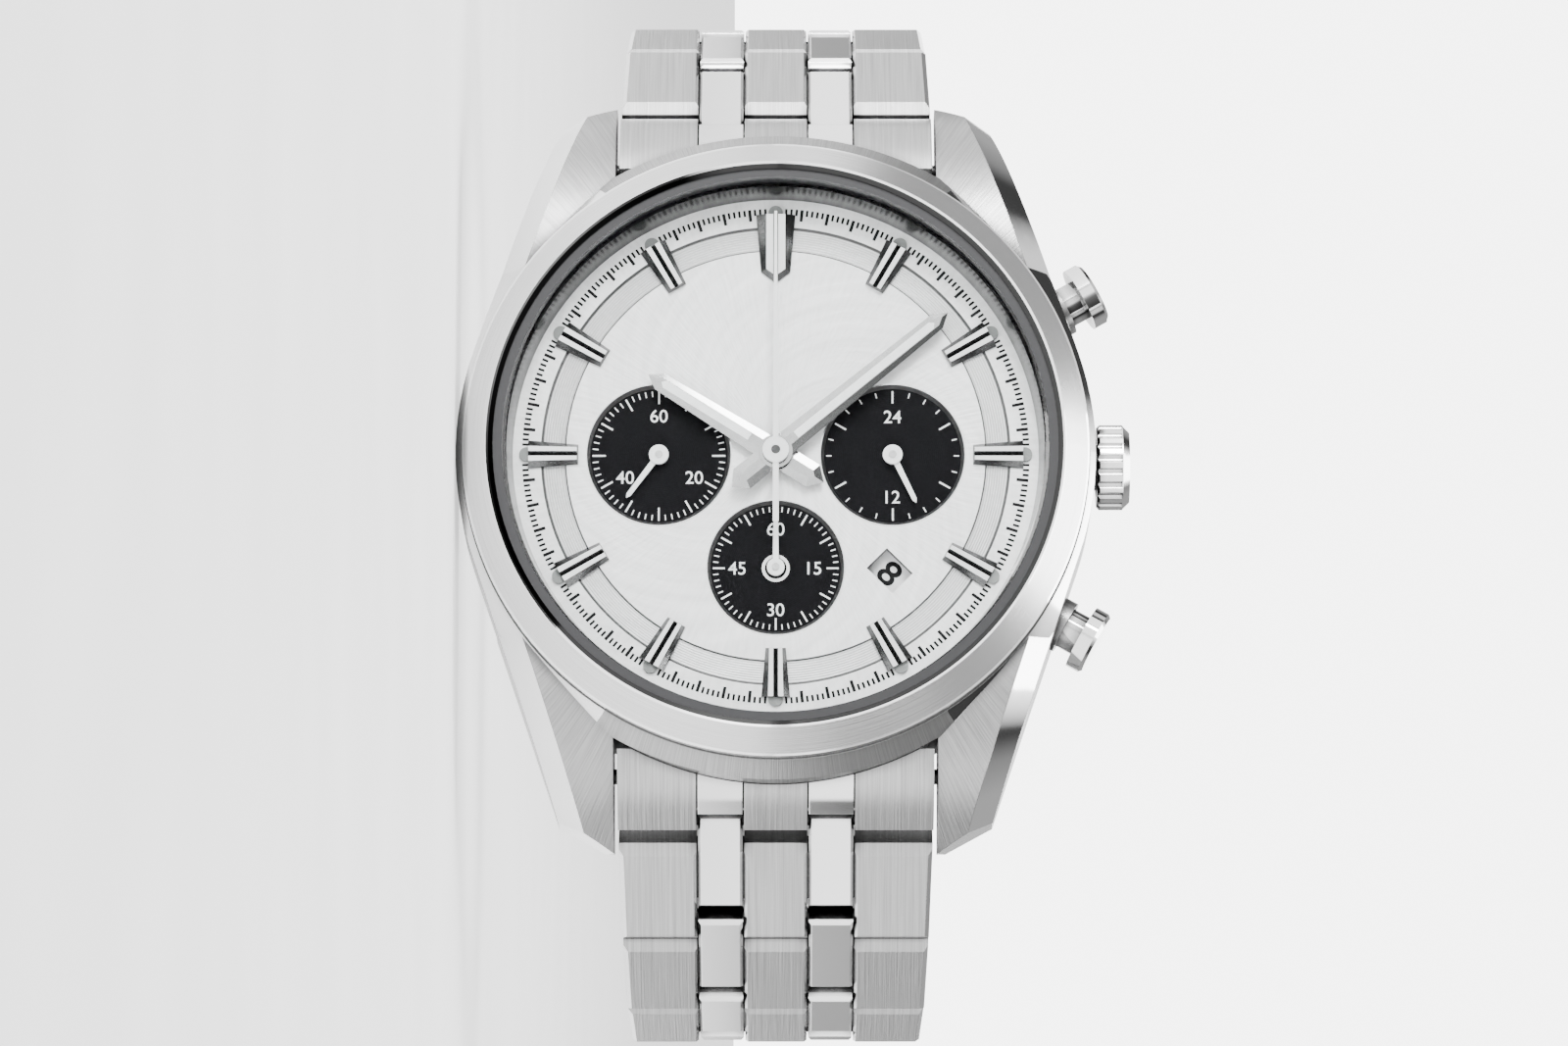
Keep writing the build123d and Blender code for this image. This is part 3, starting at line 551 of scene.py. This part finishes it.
def figures(name, items, size, z, body, material, widen=1.0, weight=0.004):
    """Printed figures in one piece; each item is (words, x, y, clockwise turn in degrees)."""
    half = PRINT / 2
    corners, faces = [], []
    for words, x, y, turn in items:
        curve = bpy.data.curves.new(name, "FONT")
        curve.body = words
        curve.size = size
        curve.offset = size * weight
        curve.extrude = half
        source = add_object(name + "_text", curve)
        bpy.context.view_layer.update()
        mesh = bpy.data.meshes.new_from_object(source)
        bpy.data.objects.remove(source)
        bpy.data.curves.remove(curve)
        spin = Matrix.Rotation(math.radians(-turn), 2)
        across = [vertex.co.x for vertex in mesh.vertices]
        upward = [vertex.co.y for vertex in mesh.vertices]
        middle_x = (max(across) + min(across)) / 2
        middle_y = (max(upward) + min(upward)) / 2
        start = len(corners)
        for vertex in mesh.vertices:
            flat = spin @ Vector(((vertex.co.x - middle_x) * widen, vertex.co.y - middle_y))
            corners.append(row(x + flat.x, y + flat.y, z + half + vertex.co.z))
        faces += [[start + i for i in face.vertices] for face in mesh.polygons]
        bpy.data.meshes.remove(mesh)
    build(name, corners, faces, body, material)


# words and their places from the middle of each small dial
NUMBER_SIZE = 1.2
for name, spot, items in (
    ("left_numbers", LEFT, (("60", 0, 2.65), ("20", 2.3, -1.45), ("40", -2.2, -1.45))),
    ("right_numbers", RIGHT, (("24", 0, 2.6), ("12", 0, -2.75))),
    (
        "lower_numbers",
        LOWER,
        (("60", 0, 2.6), ("30", 0, -2.75), ("15", 2.5, 0), ("45", -2.52, 0)),
    ),
):
    placed = [(words, spot[0] + dx, spot[1] + dy, 0) for words, dx, dy in items]
    figures(name, placed, NUMBER_SIZE, SUB_FLOOR, "case", white)

# the date wheel carries every day, with the 8th in the window at rest
DATE_AT, DATE_TILT, DATE_SIZE = Vector((7.39, -7.70)), 45, 2.3
DAYS, SHOWN_DAY = 31, 8
dates = []
for day in range(1, DAYS + 1):
    back_turn = (day - SHOWN_DAY) * 360 / DAYS
    place = Matrix.Rotation(math.radians(back_turn), 2) @ DATE_AT
    dates.append((str(day), place.x, place.y, DATE_TILT - back_turn))
date_floor = height("date_disc")
figures(
    "date_numbers", dates, DATE_SIZE, date_floor, "date_wheel", print_black,
    widen=1.15, weight=0.016,
)

# how deep the strips lie below the ridge of their hand, and their thickness, in mm
STRIP_SUNK, STRIP_THICK = 0.03, 0.035


def pointing(node):
    """Clockwise angle from 12 of a hand's long end."""
    spokes = (vertex.co - AXIS for vertex in nodes[node].data.vertices)
    far = max(spokes, key=lambda spoke: spoke.xz.length)
    return math.degrees(math.atan2(far.z, -far.x))


def hand_strip(name, node, body, inner, outer, half):
    """The pale strip let into the ridge of a hand, with a pointed end."""
    clockwise = pointing(node)
    strip = bar_outline(inner, outer - half, half * 2, clockwise)
    turn = math.radians(90 - clockwise)
    tip = (math.cos(turn) * outer, math.sin(turn) * outer)
    outline = [*strip[:2], tip, *strip[2:]]
    low = height(node) - STRIP_SUNK
    plates(name, [outline], low, STRIP_THICK, body, white)


hand_strip("minute_lume", "minute_hand", "minute", 1.7, 13.4, 0.26)
hand_strip("hour_lume", "hour_hand", "hour", 2.0, 8.8, 0.27)

# the pusher springs again, as copies held by the case
for which in ("start", "reset"):
    wound = nodes["pusher_spring_" + which]
    spring = wound.copy()
    spring.data = wound.data.copy()
    spring.name = "coil_" + which
    scene.collection.objects.link(spring)
    outward = middle(wound.name) - AXIS
    outward.y = 0.0
    outward.normalize()
    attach(spring, "case")
    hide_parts(wound.name)
    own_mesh(spring)

# ------------------------------------------------------------------ floor
# the watch lies on it; it reaches past every view and glows a little, to stay pale
FLOOR, REACH, GLOW = first_lo.z, 3.0, 1.0
paper = painted(
    "studio_paper", (0.92, 0.92, 0.92), rough=0.9, scale=60.0, depth=0.0, specular=0.1
)
glow = paper.node_tree.nodes["Principled BSDF"]
glow.inputs["Emission Color"].default_value = (1, 1, 1, 1)
glow.inputs["Emission Strength"].default_value = GLOW
floor_corners = [(x * REACH, y * REACH, FLOOR) for x, y in ((-1, -1), (1, -1), (1, 1), (-1, 1))]
floor = mesh_of("floor", floor_corners, [[0, 1, 2, 3]], paper)

# ------------------------------------------------------------------ world light
# how far the camera leans from the hand axis towards 6
TILT = math.radians(12.5)
BOX_LEVEL, PANEL_LEVEL, SWEEP_LEVEL, STRENGTH = 0.46, 0.5, 1.0, 6.0
world = bpy.data.worlds.new("studio")
scene.world = world
world.use_nodes = True
sky = world.node_tree


def sky_node(kind, inputs, **settings):
    made = sky.nodes.new(kind)
    for key, value in settings.items():
        setattr(made, key, value)
    for key, value in inputs.items():
        if isinstance(value, bpy.types.NodeSocket):
            sky.links.new(value, made.inputs[key])
        else:
            made.inputs[key].default_value = value
    return made


def sky_math(operation, a, b=0.5):
    return sky_node("ShaderNodeMath", {0: a, 1: b}, operation=operation).outputs[0]


def sky_dot(direction):
    inputs = {0: toward, 1: direction}
    return sky_node("ShaderNodeVectorMath", inputs, operation="DOT_PRODUCT").outputs["Value"]


def sky_rise(value, start, end):
    """0 at start and 1 at end, held beyond both."""
    inputs = {"Value": value, "From Min": start, "From Max": end}
    return sky_node("ShaderNodeMapRange", inputs).outputs[0]


def sky_mix(factor, a, b):
    return sky_node("ShaderNodeMix", {0: factor, 2: a, 3: b}, data_type="FLOAT").outputs[0]


def sky_ramp(value, *stops):
    """Brightness along a value of 0 to 1, from (position, level) stops."""
    made = sky_node("ShaderNodeValToRGB", {0: value})
    elements = made.color_ramp.elements
    elements[0].position, elements[1].position = stops[0][0], stops[-1][0]
    elements[0].color = grey(stops[0][1])
    elements[1].color = grey(stops[-1][1])
    for position, level in stops[1:-1]:
        elements.new(position).color = grey(level)
    return made.outputs[0]


# where the light comes from, by the row's axes, and how far behind or before the watch
toward = sky_node("ShaderNodeTexCoord", {}).outputs["Generated"]
toward_axes = sky_node("ShaderNodeSeparateXYZ", {0: toward}).outputs
backward = sky_dot((-math.sin(TILT), math.cos(TILT), 0.0))
frontward = sky_dot((-math.sin(TILT), -math.cos(TILT), 0.0))
# from 0, where flat faces mirror to the camera, to 1 opposite: a bright panel, then a dim room
depth = sky_rise(frontward, 1.0, -1.0)
bands = sky_ramp(
    depth,
    (0.0, 0.6), (0.014, 0.55), (0.035, 0.09), (0.08, 0.045), (0.18, 0.04),
    (0.34, 0.02), (0.40, 0.22), (0.50, 0.22), (0.56, 0.01), (0.64, 0.01),
    (0.7, 0.05), (0.8, 0.08), (1.0, 0.08),
)
# flags and panels round the dial axis, from 6 through 9, 12 and 3 back to 6
around = sky_math("ARCTAN2", toward_axes[2], sky_math("MULTIPLY", toward_axes[0], -1.0))
flags = sky_ramp(
    sky_rise(around, -math.pi, math.pi),
    (0.0, 1.0), (0.06, 0.9), (0.11, 0.05), (0.17, 0.03), (0.22, 0.7),
    (0.33, 1.3), (0.39, 0.25), (0.42, 0.08), (0.46, 0.8), (0.52, 1.0),
    (0.59, 0.6), (0.64, 0.04), (0.69, 0.1), (0.74, 0.9), (0.83, 1.2),
    (0.89, 0.3), (0.93, 0.12), (0.98, 0.8), (1.0, 1.0),
)
where = sky_ramp(
    depth,
    (0.0, 0.0), (0.02, 0.0), (0.07, 1.0), (0.36, 1.0), (0.42, 0.1), (0.7, 0.0), (1.0, 0.0),
)
room = sky_math("MULTIPLY", bands, sky_mix(where, 1.0, flags))
# a long box over the watch from 12 to 6, which the polished faces of the bracelet mirror
strip_width = sky_rise(sky_math("ABSOLUTE", toward_axes[2]), 0.26, 0.14)
strip_length = sky_rise(sky_dot((0.4, 1.0, 0.0)), 0.3, 0.2)
room = sky_mix(sky_math("MULTIPLY", strip_width, strip_length), room, BOX_LEVEL)
# a tall panel on the three o'clock side
room = sky_mix(sky_rise(toward_axes[2], 0.88, 0.95), room, PANEL_LEVEL)
# the white sweep behind the watch
room = sky_mix(sky_rise(backward, 0.945, 0.958), room, SWEEP_LEVEL)
sky.links.new(room, sky.nodes["Background"].inputs["Color"])
sky.nodes["Background"].inputs["Strength"].default_value = STRENGTH


# ------------------------------------------------------------------ area lights
heart = (first_lo + first_hi) / 2


def soft_light(name, place, size_x, size_y, power):
    """A rectangular light turned towards the middle of the watch, in metres and watts."""
    data = bpy.data.lights.new(name, "AREA")
    data.shape = "RECTANGLE"
    data.size = size_x
    data.size_y = size_y
    data.energy = power
    lamp = add_object(name, data)
    lamp.location = place
    lamp.rotation_mode = "QUATERNION"
    lamp.rotation_quaternion = (heart - Vector(place)).to_track_quat("-Z", "Y")


soft_light("key_box", (-0.34, -0.42, 0.06), 0.2, 0.2, 4.0)
soft_light("top_box", (0.0, -0.06, 0.5), 0.35, 0.35, 3.0)
soft_light("left_box", (-0.45, -0.3, 0.15), 0.3, 0.3, 0.8)
soft_light("right_box", (0.45, -0.25, 0.2), 0.22, 0.3, 0.6)

# ------------------------------------------------------------------ camera
DISTANCE = 0.55
SENSOR = 36.0
WIDTH = 101.92 * MM  # of the picture, at the dial
PAN_RIGHT, PAN_DOWN = 0.535, 4.43  # from the hand axis to the middle of the picture, in mm
back = Vector((math.sin(TILT), -math.cos(TILT), 0.0))
up = Vector((-math.cos(TILT), -math.sin(TILT), 0.0))
right = up.cross(back)
target = row(0, 0, DIAL_TOP) + right * PAN_RIGHT * MM - up * PAN_DOWN * MM
camera_data = bpy.data.cameras.new("camera")
camera_data.sensor_width = SENSOR
camera_data.lens = SENSOR * DISTANCE / WIDTH
camera_data.clip_start = 0.01
camera_data.clip_end = 20.0
camera = add_object("camera", camera_data)
camera.location = target + back * DISTANCE
camera.rotation_mode = "QUATERNION"
camera.rotation_quaternion = Matrix((right, up, back)).transposed().to_quaternion()
scene.camera = camera
